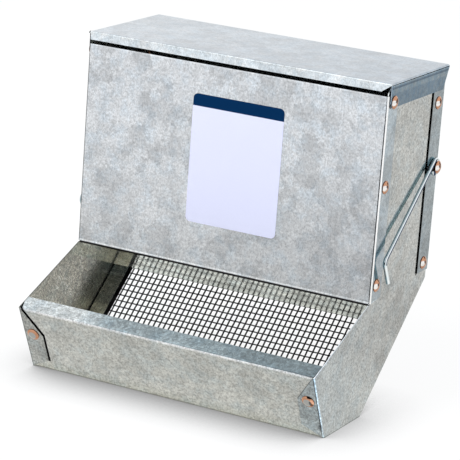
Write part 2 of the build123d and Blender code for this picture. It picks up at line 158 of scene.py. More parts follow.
def galvanised(name, tint, contrast=1.0, cloud=1.0):
    """Return hot-dipped zinc sheet's material, tree, shader, coordinates and colour."""
    material, tree, shader, place = new_material(name)
    grain = noise(tree, squeezed(tree, place, GRAIN_SQUEEZE), GRAIN_SIZE, 3.0, 0.6)
    specks = noise(tree, place, SPECK_SIZE, 3.0, 0.55)
    fine = mixed(tree, SPECK_SHARE, grain, specks)
    dark = at_level(tint, 1 - GRAIN_DARK * contrast)
    light = at_level(tint, 1 + GRAIN_LIGHT * contrast)
    colour = ramp(tree, fine, 0.40, 0.60, dark, light)
    clouds = noise(tree, place, CLOUD_SIZE, 8.0, 0.68)
    soft = ramp(tree, clouds, 0.42, 0.57, grey(1 - CLOUD_DEPTH * cloud), CLEAR)
    colour = tinted(tree, colour, soft)
    wander = noise(tree, place, FEATHER_SIZE, 6.0, 0.68).node.outputs["Color"]
    feathered = mixed(tree, FEATHER_SHARE, place, wander, "LINEAR_LIGHT")
    for size, depth in CRYSTALS:
        crystals = tree.nodes.new("ShaderNodeTexVoronoi")
        crystals.inputs["Scale"].default_value = 1 / size
        tree.links.new(feathered, crystals.inputs["Vector"])
        crystal = tree.nodes.new("ShaderNodeSeparateColor")
        tree.links.new(crystals.outputs["Color"], crystal.inputs["Color"])
        patch = ramp(tree, crystal.outputs["Red"], 0.25, 0.40, grey(1 - depth * cloud), CLEAR)
        colour = tinted(tree, colour, patch)
    blue = ramp(tree, noise(tree, place, BLUE_SIZE, 5.0, 0.7), 0.46, 0.62, CLEAR, BLUE_TINT)
    colour = tinted(tree, colour, blue)
    gloss = mixed(tree, 0.5, crystal.outputs["Green"], fine)
    rough = ramp(tree, gloss, 0.25, 0.75, grey(LOW_ROUGHNESS), grey(HIGH_ROUGHNESS))
    tree.links.new(rough, shader.inputs["Roughness"])
    bump = tree.nodes.new("ShaderNodeBump")
    bump.inputs["Strength"].default_value = DENT_STRENGTH
    bump.inputs["Distance"].default_value = DENT_DEPTH
    tree.links.new(specks, bump.inputs["Height"])
    tree.links.new(bump.outputs["Normal"], shader.inputs["Normal"])
    shader.inputs["Metallic"].default_value = METAL_SHARE
    return material, tree, shader, place, colour


# The trough's pan is one bent sheet, from the lip down the leaning front wall
# and along the bottom to the sloping floor, and it is riveted to the sides'
# tabs. Its wall is warmer than its lip, which has a painted reflection that
# runs from bright at the left to dark at the right, and a painted shadow is
# black beside each tab's edge.
body_low, body_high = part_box("side_panel_right")
foot = body_low.z
plate_x = body_high.x
PAN_TINT = (0.625, 0.625, 0.595)
LIP_FOOT = foot + 36.3 * MM
LIP_END = 88 * MM
LIP_HIGHLIGHT = (1.5, 1.5, 1.58, 1)
TAB_EDGE = plate_x - 12.0 * MM
TAB_FOOT = foot + 5.4 * MM
TAB_SHOULDER = foot + 21.3 * MM
SHOULDER_SLOPE = 1.38
SHOULDER_SHADOW_WIDTH = 2.4
WALL_FOOT_Y = -40.0 * MM
LEFT_SHADOW_WIDTH = 0.9 * MM
RIGHT_SHADOW_WIDTH = 0.32 * MM
RIGHT_SHADE = 0.3
WINDOW_X = plate_x - 10.55 * MM
DUST_AND_REFLECTION = (0.86, 0.82, 0.70, 1)


def axes(tree, place):
    """Return the three coordinates of a place, in metres, or of a direction."""
    node = tree.nodes.new("ShaderNodeSeparateXYZ")
    tree.links.new(place, node.inputs["Vector"])
    return node.outputs["X"], node.outputs["Y"], node.outputs["Z"]


def maths(tree, operation, first, second=0.0):
    """Return what an operation makes of two numbers, each given or taken from an output."""
    node = tree.nodes.new("ShaderNodeMath")
    node.operation = operation
    fill(tree, ((node.inputs[0], first), (node.inputs[1], second)))
    return node.outputs[0]


def over(tree, value, limit):
    """Return a mask that is 1 where a value is more than a limit, and 0 elsewhere."""
    return maths(tree, "GREATER_THAN", value, limit)


def under(tree, value, limit):
    """Return a mask that is 1 where a value is less than a limit, and 0 elsewhere."""
    return maths(tree, "LESS_THAN", value, limit)


def all_of(tree, *masks):
    """Return the product of masks, which is 1 only where all of them are."""
    whole = masks[0]
    for mask in masks[1:]:
        whole = maths(tree, "MULTIPLY", whole, mask)
    return whole


def other_than(tree, mask):
    """Return a mask's opposite."""
    return maths(tree, "SUBTRACT", 1.0, mask)


def chosen(tree, mask, inside, outside):
    """Return one value where a mask is 1 and another where it is 0."""
    return maths(tree, "ADD", maths(tree, "MULTIPLY", inside, mask),
                 maths(tree, "MULTIPLY", outside, other_than(tree, mask)))


def bands(tree, value, start, end, steps):
    """Return the colour of a value in steps, each a place from start to end and a colour."""
    node = tree.nodes.new("ShaderNodeMapRange")
    node.inputs["From Min"].default_value = start
    node.inputs["From Max"].default_value = end
    tree.links.new(value, node.inputs["Value"])
    colours = tree.nodes.new("ShaderNodeValToRGB")
    tree.links.new(node.outputs[0], colours.inputs["Fac"])
    points = colours.color_ramp.elements
    points.remove(points[1])
    for index, (spot, colour) in enumerate(steps):
        share = (spot - start) / (end - start)
        point = points.new(share) if index else points[0]
        point.position = share
        point.color = colour
    return colours.outputs["Color"]


def finish_node(node, material):
    """Give a CAD node its material."""
    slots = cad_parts[node].data.materials
    slots.clear()
    slots.append(material)


pan_zinc, tree, shader, place, colour = galvanised("pan_zinc", PAN_TINT, 1.65, 0.7)
breadth, depth, height = axes(tree, place)
outwards = maths(tree, "ABSOLUTE", breadth)
on_lip = over(tree, height, LIP_FOOT + 0.35 * MM)
# A painted reflection: the lip is tinted bright at the left, dark at the right.
lip_painted_reflection = bands(tree, breadth, -LIP_END, LIP_END, (
    (-52 * MM, (1.22, 1.30, 1.38, 1)), (-38 * MM, (0.72, 0.84, 0.93, 1)),
    (20 * MM, (0.54, 0.66, 0.74, 1)), (LIP_END, (0.27, 0.335, 0.38, 1)),
))
colour = tinted(tree, colour, lip_painted_reflection, on_lip)
lip_marks = ramp(tree, noise(tree, place, 3.2 * MM, 6.0, 0.7), 0.40, 0.60, grey(0.74), grey(1.10))
colour = tinted(tree, colour, lip_marks, on_lip)
# A painted highlight: a bright line along the lip's front bend.
lip_highlight_line = bands(tree, height, LIP_FOOT - 5 * MM, LIP_FOOT + 5 * MM, (
    (LIP_FOOT - 1.0 * MM, CLEAR), (LIP_FOOT - 0.6 * MM, LIP_HIGHLIGHT),
    (LIP_FOOT + 0.3 * MM, LIP_HIGHLIGHT), (LIP_FOOT + 0.45 * MM, CLEAR),
))
colour = tinted(tree, colour, lip_highlight_line)
# A painted shadow: a black strip on the wall just past each tab's edge, beside it and over its
# shoulder, wider by the left tab and faint beside the right.
left = under(tree, breadth, 0.0)
shadow_width = chosen(tree, left, LEFT_SHADOW_WIDTH, RIGHT_SHADOW_WIDTH)
past_edge = over(tree, maths(tree, "ADD", outwards, shadow_width), TAB_EDGE)
beside_tab = all_of(
    tree, under(tree, height, TAB_SHOULDER), over(tree, height, TAB_FOOT),
    maths(tree, "MAXIMUM", left, RIGHT_SHADE),
)
shoulder_rise = maths(tree, "MULTIPLY", maths(tree, "SUBTRACT", outwards, TAB_EDGE), SHOULDER_SLOPE)
climb = maths(tree, "SUBTRACT", maths(tree, "SUBTRACT", height, TAB_SHOULDER), shoulder_rise)
above_tab = all_of(
    tree, under(tree, climb, maths(tree, "MULTIPLY", shadow_width, SHOULDER_SHADOW_WIDTH)),
    over(tree, height, TAB_SHOULDER),
)
on_wall = under(tree, depth, WALL_FOOT_Y)
shade = all_of(tree, maths(tree, "MAXIMUM", beside_tab, above_tab), past_edge, on_wall)
colour = mixed(tree, shade, colour, BLACK)
# The floor between the window and each side is painted darker and warmer, partly as dust and partly
# as a painted dark reflection, and black next to the side as its seam.
on_slope = over(tree, depth, WALL_FOOT_Y + 2 * MM)
strip_reflection_and_seam = bands(tree, outwards, 70 * MM, plate_x, (
    (WINDOW_X, CLEAR), (WINDOW_X + 0.3 * MM, DUST_AND_REFLECTION),
    (plate_x - 1.5 * MM, DUST_AND_REFLECTION), (plate_x - 1.2 * MM, BLACK),
))
colour = tinted(tree, colour, strip_reflection_and_seam, on_slope)
# Painted shade: the wall is dark along its foot and a little darker just above.
foot_shade = bands(tree, height, foot, foot + 10 * MM, (
    (foot + 0.45 * MM, (0.30, 0.30, 0.24, 1)), (foot + 0.9 * MM, (0.88, 0.88, 0.84, 1)),
    (foot + 7 * MM, CLEAR),
))
colour = tinted(tree, colour, foot_shade, on_wall)
tree.links.new(colour, shader.inputs["Base Color"])
finish_node("trough_pan", pan_zinc)


# The front panel is one sheet that laps round both sides and is riveted to
# them. Its flanges are painted a little bluer and darker than its face as a
# painted reflection, its bends carry painted light and dark lines, the fold
# at its right has a painted highlight, and its face is darker towards its
# lower right corner.
FRONT_TINT = (0.735, 0.745, 0.755)
FLAT_FOOT = foot + 62.3 * MM
panel_low, panel_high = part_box("front_panel")
front_zinc, tree, shader, place, colour = galvanised("front_zinc", FRONT_TINT, 1.2, 1.0)
breadth, depth, height = axes(tree, place)
# A painted reflection: the flanges are tinted bluer and darker than the face.
lap = over(tree, maths(tree, "ABSOLUTE", breadth), plate_x)
colour = tinted(tree, colour, (0.80, 0.88, 0.93, 1), lap)
# The face is darker towards its lower right corner.
towards_corner = maths(tree, "SUBTRACT", maths(tree, "DIVIDE", breadth, 88 * MM),
                       maths(tree, "DIVIDE", height, 56 * MM))
lower_right_darkening = bands(tree, towards_corner, -2.0, 2.0, ((0.0, CLEAR), (2.0, grey(0.76))))
colour = tinted(tree, colour, lower_right_darkening)
# Painted light and shade: the baffle below the foot's bend is brighter, the bend has a black line
# and a bright line, the face is a little darker up to 40 mm above it, and the top edge has a bright
# line.
bend_painted_light = bands(tree, height, FLAT_FOOT - 14 * MM, panel_high.z, (
    (FLAT_FOOT - 1.6 * MM, (1.44, 1.47, 1.37, 1)), (FLAT_FOOT - 1.45 * MM, grey(0.03)),
    (FLAT_FOOT - 0.40 * MM, grey(0.04)), (FLAT_FOOT - 0.30 * MM, grey(1.6)),
    (FLAT_FOOT + 0.55 * MM, grey(1.5)), (FLAT_FOOT + 0.9 * MM, grey(0.96)),
    (FLAT_FOOT + 40 * MM, CLEAR), (panel_high.z - 0.7 * MM, CLEAR),
    (panel_high.z - 0.4 * MM, grey(1.25)),
))
colour = tinted(tree, colour, bend_painted_light)
# Painted shade: a black line down the left bend.
left_bend_shade = all_of(
    tree, under(tree, breadth, panel_low.x + 0.8 * MM), under(tree, depth, 0.9 * MM),
)
colour = mixed(tree, left_bend_shade, colour, BLACK)
# A painted highlight: the fold at the right is painted white.
right_fold_highlight = all_of(
    tree, over(tree, breadth, plate_x), under(tree, depth, 1.0 * MM), over(tree, depth, 0.12 * MM),
)
colour = mixed(tree, right_fold_highlight, colour, CLEAR)
tree.links.new(colour, shader.inputs["Base Color"])
finish_node("front_panel", front_zinc)


# Each side is one plate for hopper and trough, and it ends in a tab that is
# folded and riveted round the trough's front. The tab's cut edges are painted
# black as painted shade, and the strip before the back panel's flange is
# painted black as the shadow of the flange's edge.
SIDE_TINT = (0.605, 0.61, 0.59)
WALL_LEAN = math.radians(25.26)
WALL_FACING = (0.0, -math.cos(WALL_LEAN), -math.sin(WALL_LEAN))
FOLD_ROUND = 1.15 * MM
SIDES = ("left", "right")


def facing(tree, normal, direction):
    """Return how squarely a normal points in a direction."""
    node = tree.nodes.new("ShaderNodeVectorMath")
    node.operation = "DOT_PRODUCT"
    node.inputs[1].default_value = direction
    tree.links.new(normal, node.inputs[0])
    return node.outputs["Value"]


back_low, back_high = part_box("back_panel")
lap_edge = back_low.y
side_zinc, tree, shader, place, colour = galvanised("side_zinc", SIDE_TINT, 2.0, 0.9)
breadth, depth, height = axes(tree, place)
outwards = maths(tree, "ABSOLUTE", breadth)
right = over(tree, breadth, 0.0)
# A painted shadow: a black line on the side just before the flange's edge.
flange_shadow_line = bands(tree, depth, lap_edge - 4 * MM, lap_edge + 4 * MM, (
    (lap_edge - 0.8 * MM, CLEAR), (lap_edge - 0.6 * MM, BLACK),
    (lap_edge + 0.9 * MM, BLACK), (lap_edge + 1.1 * MM, CLEAR),
))
along_flange = all_of(
    tree, over(tree, height, back_low.z - 1 * MM), over(tree, outwards, plate_x - 0.1 * MM),
)
colour = tinted(tree, colour, flange_shadow_line, along_flange)
normal = tree.nodes.new("ShaderNodeNewGeometry").outputs["True Normal"]
wall_like = maths(tree, "ABSOLUTE", facing(tree, normal, WALL_FACING))
plate_like = maths(tree, "ABSOLUTE", axes(tree, normal)[0])
on_tab = under(tree, outwards, plate_x - 1.6 * MM)
# Painted shade: the tab's cut edges are black.
colour = mixed(tree, all_of(tree, on_tab, under(tree, wall_like, 0.5)), colour, BLACK)
# Painted shade and highlight: the plate's cut edges are dark on the left side and pale on the right
# side.
cut_edge = all_of(
    tree, under(tree, plate_like, 0.3), other_than(tree, on_tab),
    over(tree, outwards, plate_x - 0.6 * MM),
)
edge_shade_and_highlight = mixed(tree, right, (0.06, 0.07, 0.06, 1), (0.88, 0.94, 1.0, 1))
colour = mixed(tree, cut_edge, colour, edge_shade_and_highlight)
inside = under(tree, outwards, plate_x - 0.3 * MM)
before_wall = under(tree, depth, WALL_FOOT_Y)
# Painted light and shade: the plates' inner faces are brighter and warmer, and the tabs' faces are
# darker, the left one more.
tab_face = all_of(tree, before_wall, over(tree, wall_like, 0.5))
tab_shade = mixed(tree, right, (0.83, 0.83, 0.82, 1), (0.93, 0.97, 0.99, 1))
painted_light = mixed(tree, tab_face, (1.52, 1.47, 1.35, 1), tab_shade)
colour = tinted(tree, colour, painted_light, inside)
# Painted shade: a dark line along the foot.
side_foot_shade = bands(tree, height, foot, foot + 10 * MM, (
    (foot + 0.3 * MM, (0.34, 0.36, 0.34, 1)), (foot + 0.6 * MM, CLEAR),
))
colour = tinted(tree, colour, side_foot_shade)
# Painted light: the plate is darker low down and brighter towards the top.
painted_light_above = bands(tree, height, foot, back_high.z, (
    (foot, grey(0.95)), (foot + 60 * MM, grey(0.97)), (foot + 135 * MM, grey(1.10)),
))
colour = tinted(tree, colour, painted_light_above)
# A painted reflection: the right side is bluer towards the front.
front_blue_reflection = bands(tree, depth, -60 * MM, 40 * MM, (
    (-45 * MM, (0.92, 0.96, 1.0, 1)), (20 * MM, CLEAR),
))
colour = tinted(tree, colour, front_blue_reflection, right)
# Painted shade and highlight on the trough's front corner fold: a dark band where it leaves the
# wall, then a bright bluish line.
fold_painted_light = bands(tree, plate_like, 0.0, 1.0, (
    (0.04, CLEAR), (0.06, (0.30, 0.29, 0.27, 1)), (0.36, grey(0.36)),
    (0.44, (1.5, 1.62, 1.75, 1)), (0.95, (1.3, 1.4, 1.5, 1)), (0.98, CLEAR),
))
on_fold = all_of(
    tree, before_wall, over(tree, outwards, plate_x - FOLD_ROUND),
    over(tree, maths(tree, "ADD", plate_like, wall_like), 0.9),
)
colour = tinted(tree, colour, fold_painted_light, on_fold)
tree.links.new(colour, shader.inputs["Base Color"])
polish = shader.inputs["Roughness"].links[0].from_socket
tree.links.new(mixed(tree, inside, polish, grey(0.26)), shader.inputs["Roughness"])
for side in SIDES:
    finish_node("side_panel_" + side, side_zinc)


# The back panel is a plain sheet whose flanges lap the sides from behind and
# are riveted to them. The flanges are painted darker as painted shade, and a
# black line along their front edges is a painted shadow.
BACK_TINT = (0.56, 0.595, 0.61)
back_zinc, tree, shader, place, colour = galvanised("back_zinc", BACK_TINT, 1.5)
breadth, depth, height = axes(tree, place)
# Painted shade: the flanges are darker.
lap = over(tree, maths(tree, "ABSOLUTE", breadth), plate_x)
colour = tinted(tree, colour, (0.72, 0.76, 0.78, 1), lap)
# A painted shadow: a black line along the flanges' front edges.
flange_edge_shadow = bands(tree, depth, lap_edge, lap_edge + 4 * MM, (
    (lap_edge + 0.25 * MM, BLACK), (lap_edge + 0.4 * MM, CLEAR),
))
tree.links.new(tinted(tree, colour, flange_edge_shadow), shader.inputs["Base Color"])
finish_node("back_panel", back_zinc)


# The lid is one sheet with a low front flange and two side flanges, and it
# turns on a rivet through each side flange. The side flanges have a rolled
# bend, and the lighter and darker lines along them are a painted reflection.
# The top is painted darker towards the right, the front flange brighter and
# the front's left end black, as painted light and shade.
LID_TINT = (0.60, 0.645, 0.69)
STAIN_BLUE = (0.74, 0.88, 0.98, 1)
STAIN_WARM = (1.12, 1.07, 1.03, 1)
TOP_STAIN = 0.35
lid_zinc, tree, shader, place, colour = galvanised("lid_zinc", LID_TINT, 1.0, 0.8)
lid_low, lid_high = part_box("lid")
breadth, depth, height = axes(tree, place)
# Painted light and shade: the top darkens towards the right, and the front flange is brighter and
# warmer.
top_painted_light = bands(tree, breadth, lid_low.x, lid_high.x, (
    (lid_low.x, CLEAR), (lid_high.x, (0.79, 0.82, 0.85, 1)),
))
on_front = under(tree, depth, lid_low.y + 0.6 * MM)
top_painted_light = mixed(tree, on_front, top_painted_light, (1.40, 1.35, 1.28, 1))
# Painted shade: the front's left end is black.
left_end_shade = all_of(
    tree, under(tree, breadth, lid_low.x + 0.6 * MM), under(tree, depth, lid_low.y + 1.2 * MM),
)
top_painted_light = mixed(tree, left_end_shade, top_painted_light, BLACK)
on_flank = all_of(
    tree, over(tree, maths(tree, "ABSOLUTE", breadth), lid_high.x - 0.2 * MM),
    other_than(tree, left_end_shade),
)
# A painted reflection: darker and lighter blue lines along the side flanges.
flank_painted_reflection = bands(tree, height, lid_high.z - 13 * MM, lid_high.z, (
    (lid_high.z - 6.0 * MM, (0.30, 0.39, 0.46, 1)), (lid_high.z - 5.0 * MM, (0.46, 0.52, 0.55, 1)),
    (lid_high.z - 3.3 * MM, (0.42, 0.50, 0.54, 1)), (lid_high.z - 2.7 * MM, (0.11, 0.17, 0.24, 1)),
    (lid_high.z - 2.1 * MM, (0.22, 0.32, 0.40, 1)), (lid_high.z - 1.2 * MM, (0.56, 0.66, 0.72, 1)),
    (lid_high.z - 0.6 * MM, CLEAR),
))
colour = tinted(tree, colour, mixed(tree, on_flank, top_painted_light, flank_painted_reflection))
stains = noise(tree, place, 4.5 * MM, 6.0, 0.68)
stained = ramp(tree, stains, 0.42, 0.58, STAIN_BLUE, STAIN_WARM)
colour = tinted(tree, colour, stained, chosen(tree, on_flank, 1.0, TOP_STAIN))
tree.links.new(colour, shader.inputs["Base Color"])
finish_node("lid", lid_zinc)


# The sifter under the window in the sloping floor is square-mesh wire cloth,
# held at its edges under the pan. Its wires are crimped where they cross,
# over and under in turn, and the cloth is dull and painted almost black as
# painted shade.
WARP_ROUND = 0.88 * MM
WEFT_ROUND = 0.7 * MM
CRIMP = 0.08 * MM
FLOOR_SLOPE = math.radians(40.84)
NET_WIDTH = 165.8 * MM
NET_LENGTH = 91.0 * MM
WARP_PAIRS = 26
WEFT_PAIRS = 12
WIRE_SIDES = 6
SELVEDGE_X = 77.2 * MM
SELVEDGE_WIDTH = 2.6 * MM
SELVEDGE_THICK = 0.5 * MM
SELVEDGE_ROUND = 0.2 * MM


def deselect():
    """Deselect everything."""
    bpy.ops.object.select_all(action="DESELECT")


def crimped_wire(length, crossings, first_side, round_size):
    """Add a wire along Y that passes over and under its crossings in turn."""
    step = length / (2 * crossings)
    deselect()
    bpy.ops.mesh.primitive_circle_add(
        vertices=WIRE_SIDES, radius=round_size / 2, fill_type="NGON",
        location=(0, -length / 2, 0), rotation=(math.radians(90), 0, 0),
    )
    wire = bpy.context.object
    bpy.ops.object.transform_apply(location=True, rotation=True)
    bpy.ops.object.mode_set(mode="EDIT")
    height = 0.0
    for index in range(2 * crossings):
        over_or_under = 1 if (index // 2 + first_side) % 2 else -1
        level = over_or_under * CRIMP if index % 2 == 0 else 0.0
        bpy.ops.mesh.extrude_region_move(
            TRANSFORM_OT_translate={"value": (0, step, level - height)}
        )
        height = level
    bpy.ops.mesh.select_all(action="SELECT")
    bpy.ops.mesh.normals_make_consistent(inside=False)
    bpy.ops.object.mode_set(mode="OBJECT")
    return wire


def applied_array(piece, count, step):
    """Repeat a piece along a step and apply the result."""
    modifier = piece.modifiers.new("row", "ARRAY")
    modifier.count = count
    modifier.use_relative_offset = False
    modifier.use_constant_offset = True
    modifier.constant_offset_displace = step
    bpy.context.view_layer.objects.active = piece
    bpy.ops.object.modifier_apply(modifier=modifier.name)


def joined(pieces, name):
    """Join pieces into the first one and name it."""
    deselect()
    for piece in pieces:
        piece.select_set(True)
    bpy.context.view_layer.objects.active = pieces[0]
    bpy.ops.object.join()
    pieces[0].name = name
    return pieces[0]


def wire_set(length, crossings, width, pairs, first_side, round_size):
    """Return one direction of the cloth, with its wires along Y."""
    pitch = width / (2 * pairs)
    row = []
    for index in range(2):
        wire = crimped_wire(length, crossings, (index + first_side) % 2, round_size)
        wire.location.x = -width / 2 + (index + 0.5) * pitch
        bpy.ops.object.transform_apply(location=True)
        applied_array(wire, pairs, (2 * pitch, 0, 0))
        row.append(wire)
    return joined(row, "wires")


warp = wire_set(NET_LENGTH, 2 * WEFT_PAIRS, NET_WIDTH, WARP_PAIRS, 0, WARP_ROUND)
weft = wire_set(NET_WIDTH, 2 * WARP_PAIRS, NET_LENGTH, WEFT_PAIRS, 1, WEFT_ROUND)
deselect()
weft.select_set(True)
weft.rotation_euler.z = math.radians(90)
bpy.context.view_layer.objects.active = weft
bpy.ops.object.transform_apply(rotation=True)
selvedges = []
for side in (-1, 1):
    deselect()
    bpy.ops.mesh.primitive_cube_add(size=1, location=(side * SELVEDGE_X, 0, 0))
    strip = bpy.context.object
    strip.scale = (SELVEDGE_WIDTH, NET_LENGTH, SELVEDGE_THICK)
    bpy.ops.object.transform_apply(location=True, scale=True)
    bevel = strip.modifiers.new("rounded", "BEVEL")
    bevel.width = SELVEDGE_ROUND
    bevel.segments = 2
    bpy.ops.object.modifier_apply(modifier=bevel.name)
    selvedges.append(strip)
cloth = joined([warp, weft] + selvedges, "sifter_wire_cloth")
net_low, net_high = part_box("sifter_mesh")
cloth.rotation_euler.x = FLOOR_SLOPE
cloth.location = (net_low + net_high) / 2
bpy.ops.object.transform_apply(location=True, rotation=True)
bpy.ops.object.shade_smooth()

shaded_cloth, tree, shader, place = new_material("shaded_wire_cloth")
# Painted shade: the wires and selvedges are coloured almost black.
tint = ramp(tree, noise(tree, place, 6 * MM), 0.3, 0.7, grey(0.002), grey(0.012))
tree.links.new(tint, shader.inputs["Base Color"])
shader.inputs["Metallic"].default_value = 0.6
shader.inputs["Roughness"].default_value = 0.5
shader.inputs["Specular IOR Level"].default_value = 0.08
cloth.data.materials.append(shaded_cloth)
finish_node("sifter_mesh", shaded_cloth)
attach(cloth, "body")
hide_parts("sifter_mesh")


# The rivets are steel with a thin copper wash, and they hold the sheets, the
# lid and the hooks. Their heads are low domes. The rim is darker, partly as
# dull copper and partly as painted shade. The crown shows zinc where the wash
# is worn; on the side rivets it is set towards the front and nearly white as
# a painted highlight, with a painted dark reflection beside it.
COPPER = (0.60, 0.31, 0.19, 1)
COPPER_BROWN = (0.46, 0.22, 0.14, 1)
DULL_AND_SHADED_RIM = (0.20, 0.09, 0.055, 1)
TAB_CROWN = (0.42, 0.45, 0.45, 1)
SIDE_HIGHLIGHT = (0.94, 0.95, 0.94, 1)
DARK_REFLECTION = (0.07, 0.055, 0.055, 1)
HIGHLIGHT_FACING = (0.90, -0.44, 0.0)
HIGHLIGHT_TILT = 0.05
DARK_REFLECTION_FACING = (0.985, -0.11, 0.13)
RIVETS = (
    "lid_rivet", "tab_rivet", "hook_rivet", "front_upper_rivet", "front_lower_rivet",
    "back_upper_rivet", "back_lower_rivet",
)
copper, tree, shader, place = new_material("coppered_rivet")
wash = ramp(tree, noise(tree, place, 1.6 * MM, 3.0), 0.30, 0.50, COPPER_BROWN, COPPER)
normal = place.node.outputs["Normal"]
normal_x, normal_y, normal_z = axes(tree, normal)
across = maths(tree, "ABSOLUTE", normal_x)
folded = tree.nodes.new("ShaderNodeCombineXYZ")
fill(tree, zip(folded.inputs, (across, normal_y, normal_z)))
mirrored = folded.outputs[0]
on_wall = under(tree, axes(tree, place)[1], WALL_FOOT_Y)
wall_like = facing(tree, normal, WALL_FACING)
# The rim is darker, partly as dull copper and partly as painted shade.
off_rim = chosen(tree, on_wall, wall_like, across)
rim = ramp(tree, off_rim, 0.55, 0.68, CLEAR, grey(0))
# A painted highlight: on the side rivets the bright zinc crown is set towards the front; on the tab
# rivets the crown sits on top as worn copper.
side_highlight = maths(tree, "SUBTRACT", facing(tree, mirrored, HIGHLIGHT_FACING), HIGHLIGHT_TILT)
crown_and_highlight = chosen(tree, on_wall, wall_like, side_highlight)
painted_light = ramp(tree, crown_and_highlight, 0.90, 0.925, grey(0), grey(0.9))
colour = mixed(tree, painted_light, wash, mixed(tree, on_wall, SIDE_HIGHLIGHT, TAB_CROWN))
# A painted dark reflection beside the side rivets' crown.
reflection_facing = chosen(tree, on_wall, 0.0, facing(tree, mirrored, DARK_REFLECTION_FACING))
dark_reflection = ramp(tree, reflection_facing, 0.982, 0.992, grey(0), grey(0.9))
colour = mixed(tree, dark_reflection, colour, DARK_REFLECTION)
tree.links.new(mixed(tree, rim, colour, DULL_AND_SHADED_RIM), shader.inputs["Base Color"])
rough = ramp(tree, noise(tree, place, 0.7 * MM), 0.3, 0.7, grey(0.05), grey(0.13))
tree.links.new(rough, shader.inputs["Roughness"])
shader.inputs["Metallic"].default_value = 1.0
for rivet in RIVETS:
    for side in SIDES:
        finish_node(rivet + "_" + side, copper)


# The two hooks are bent from bright zinc-plated spring wire. Each turns on
# its rivet by an open eye, and a long straight arm runs down to the front,
# where a short free end is turned back to catch the cage.
UNDERSIDE_SHADE = (0.03, 0.06, 0.12, 1)
HIGHLIGHT_LINE = (0.94, 0.97, 0.98, 1)
WIRE_BLUE = (0.40, 0.475, 0.51, 1)
INNER_SHADE = (0.18, 0.27, 0.30, 1)
WIRE_BACK = (0.62, 0.86, 0.90, 1)
WIRE_DULL = (0.86, 0.92, 0.95, 1)
SKYWARD_SHARE = 0.35
eye_low, eye_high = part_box("hook_rivet_right")
EYE_Y = (eye_low.y + eye_high.y) / 2
BEND_Z = (eye_low.z + eye_high.z) / 2 - 41.5 * MM
zinc_wire, tree, shader, place = new_material("zinc_wire")
breadth, depth, height = axes(tree, place)
normal_x, normal_y, normal_z = axes(tree, place.node.outputs["Normal"])
outward = maths(tree, "MULTIPLY", normal_x, maths(tree, "SIGN", breadth))
skyward = maths(tree, "MULTIPLY", normal_z, SKYWARD_SHARE)
forward = maths(tree, "SUBTRACT", skyward, normal_y)
round_wire = maths(tree, "ARCTAN2", forward, outward)

# The angle round the wire is 0 on its outer side and a quarter turn in front.
# By this angle the wire is painted with a bright highlight, blue reflection
# bands and a dark inner side, and along the arm its underside is painted dark,
# as painted light and shade.
wire_painted_light = bands(tree, round_wire, -math.pi, math.pi, (
    (0.86, HIGHLIGHT_LINE), (1.0, WIRE_BLUE), (1.5, WIRE_BLUE), (1.68, INNER_SHADE),
    (2.2, INNER_SHADE), (2.45, WIRE_BACK),
))
underside_shade = bands(tree, round_wire, -math.pi, math.pi, ((0.42, UNDERSIDE_SHADE), (0.54, CLEAR)))
on_arm = all_of(tree, over(tree, height, BEND_Z), under(tree, depth, EYE_Y - 1 * MM))
colour = tinted(tree, wire_painted_light, underside_shade, on_arm)
spots = ramp(tree, noise(tree, place, 3 * MM, 3.0), 0.35, 0.65, WIRE_DULL, CLEAR)
tree.links.new(tinted(tree, colour, spots), shader.inputs["Base Color"])
rough = ramp(tree, noise(tree, place, 1 * MM), 0.3, 0.7, grey(0.05), grey(0.11))
tree.links.new(rough, shader.inputs["Roughness"])
shader.inputs["Metallic"].default_value = 1.0
for side in SIDES:
    finish_node("hook_" + side, zinc_wire)


# The sticker on the front panel is white paper with rounded corners, stuck
# down all over and printed with one dark blue band across its head. It is
# blank otherwise.
PAPER = (0.68, 0.69, 0.845, 1)
PAPER_GREY = (0.66, 0.67, 0.825, 1)
BAND_BLUE = (0.001, 0.022, 0.076, 1)
BAND_SHARE = 0.095
paper, tree, shader, place = new_material("label_paper")
label_low, label_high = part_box("front_label")
band_foot = label_high.z - BAND_SHARE * (label_high.z - label_low.z)
in_band = over(tree, axes(tree, place)[2], band_foot)
white = ramp(tree, noise(tree, place, 0.8 * MM, 3.0), 0.2, 0.8, PAPER_GREY, PAPER)
tree.links.new(mixed(tree, in_band, white, BAND_BLUE), shader.inputs["Base Color"])
shader.inputs["Roughness"].default_value = 0.45
shader.inputs["Specular IOR Level"].default_value = 0.02
finish_node("front_label", paper)


# The feeder stands on a bare white table. Its soft shadow round its foot is
# mostly a painted shadow, where the table's glow darkens close to the feeder,
# and only a little of it is cast. What gloss sees of the table is warmer
# beside the feeder, whiter far in front of it, very bright just right of the
# trough's front corner and dark close to its right foot.
TABLE_SPAN = 8.0
TABLE_LEVEL = 0.88
CAMERA_SHARE = 0.86
GLOSS_SHARE = 0.8
SHADOW_REACH = 42 * MM
TABLE_GLOW = 1.035
TABLE_WHITE = (1.0, 1.0, 0.96, 1)
BRIGHT_BESIDE = (1.6, 1.75, 1.85, 1)
deselect()
bpy.ops.mesh.primitive_plane_add(size=TABLE_SPAN, location=(0, 0, cad_bounds[0].z))
table_top = bpy.context.object
table_top.name = "table_top"
bpy.ops.object.transform_apply(location=True)


def emission(tree, colour, strength=1.0):
    """Return a light-giving shader, its colour given or taken from an output."""
    node = tree.nodes.new("ShaderNodeEmission")
    node.inputs["Strength"].default_value = strength
    fill(tree, ((node.inputs["Color"], colour),))
    return node.outputs[0]


